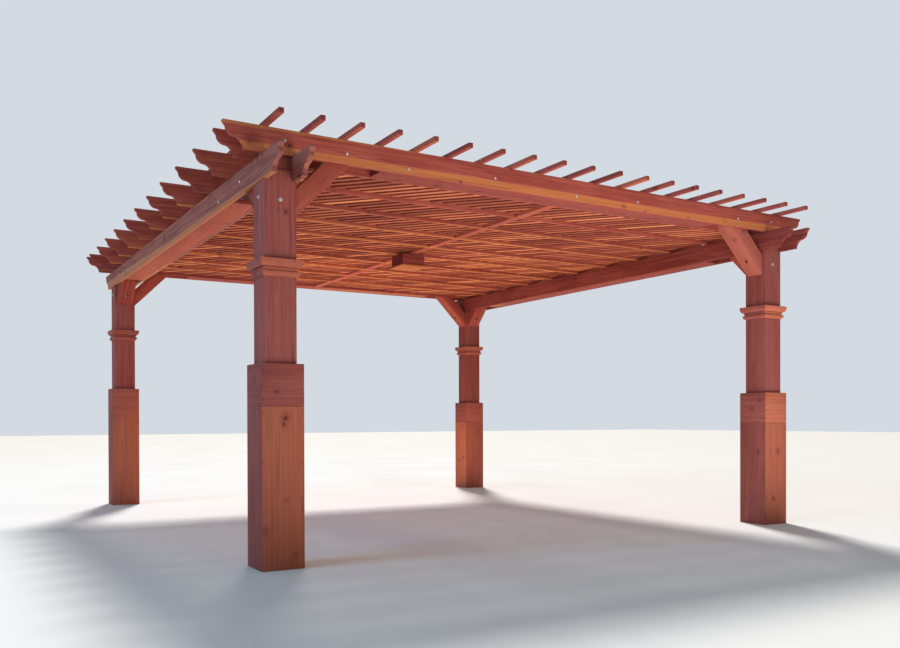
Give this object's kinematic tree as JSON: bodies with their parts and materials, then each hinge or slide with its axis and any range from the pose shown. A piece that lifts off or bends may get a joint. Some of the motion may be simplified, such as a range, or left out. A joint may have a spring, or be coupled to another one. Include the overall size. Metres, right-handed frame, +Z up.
{
  "type": "garden pergola",
  "caption": "Square free-standing timber pergola with boxed posts, knee braces, paired beams, rafters, a lattice ceiling and slats on top.",
  "frame": {"origin": "on the ground under the middle of the roof", "axes": "+X along the rafters to the right, +Y along the beams to the rear, +Z up"},
  "size_m": [6.076, 6.638, 3.189],
  "materials": {
    "post_timber": "matt, oiled",
    "frame_timber": "matt, oiled",
    "lattice_timber": "matt, oiled"
  },
  "bodies": {
    "root": {"base_lower_front_left": "post_timber", "base_lower_front_right": "post_timber", "base_lower_rear_left": "post_timber", "base_lower_rear_right": "post_timber", "base_upper_front_left": "post_timber", "base_upper_front_right": "post_timber", "base_upper_rear_left": "post_timber", "base_upper_rear_right": "post_timber", "beams_left": "frame_timber", "beams_right": "frame_timber", "brace_x_front_left": "frame_timber", "brace_x_front_right": "frame_timber", "brace_x_rear_left": "frame_timber", "brace_x_rear_right": "frame_timber", "brace_y_front_left": "frame_timber", "brace_y_front_right": "frame_timber", "brace_y_rear_left": "frame_timber", "brace_y_rear_right": "frame_timber", "centre_block": "frame_timber", "centre_blocking": "frame_timber", "collar_front_left": "post_timber", "collar_front_right": "post_timber", "collar_rear_left": "post_timber", "collar_rear_right": "post_timber", "infill_beams": "frame_timber", "infill_front": "frame_timber", "infill_rear": "frame_timber", "lattice_lower_1": "lattice_timber", "lattice_lower_2": "lattice_timber", "lattice_lower_3": "lattice_timber", "lattice_lower_4": "lattice_timber", "lattice_lower_5": "lattice_timber", "lattice_upper_1": "lattice_timber", "lattice_upper_2": "lattice_timber", "lattice_upper_3": "lattice_timber", "lattice_upper_4": "lattice_timber", "lattice_upper_5": "lattice_timber", "post_front_left": "post_timber", "post_front_right": "post_timber", "post_rear_left": "post_timber", "post_rear_right": "post_timber", "purlins": "frame_timber", "rafters_field": "frame_timber", "rafters_front": "frame_timber", "rafters_rear": "frame_timber"}
  },
  "joints": []
}
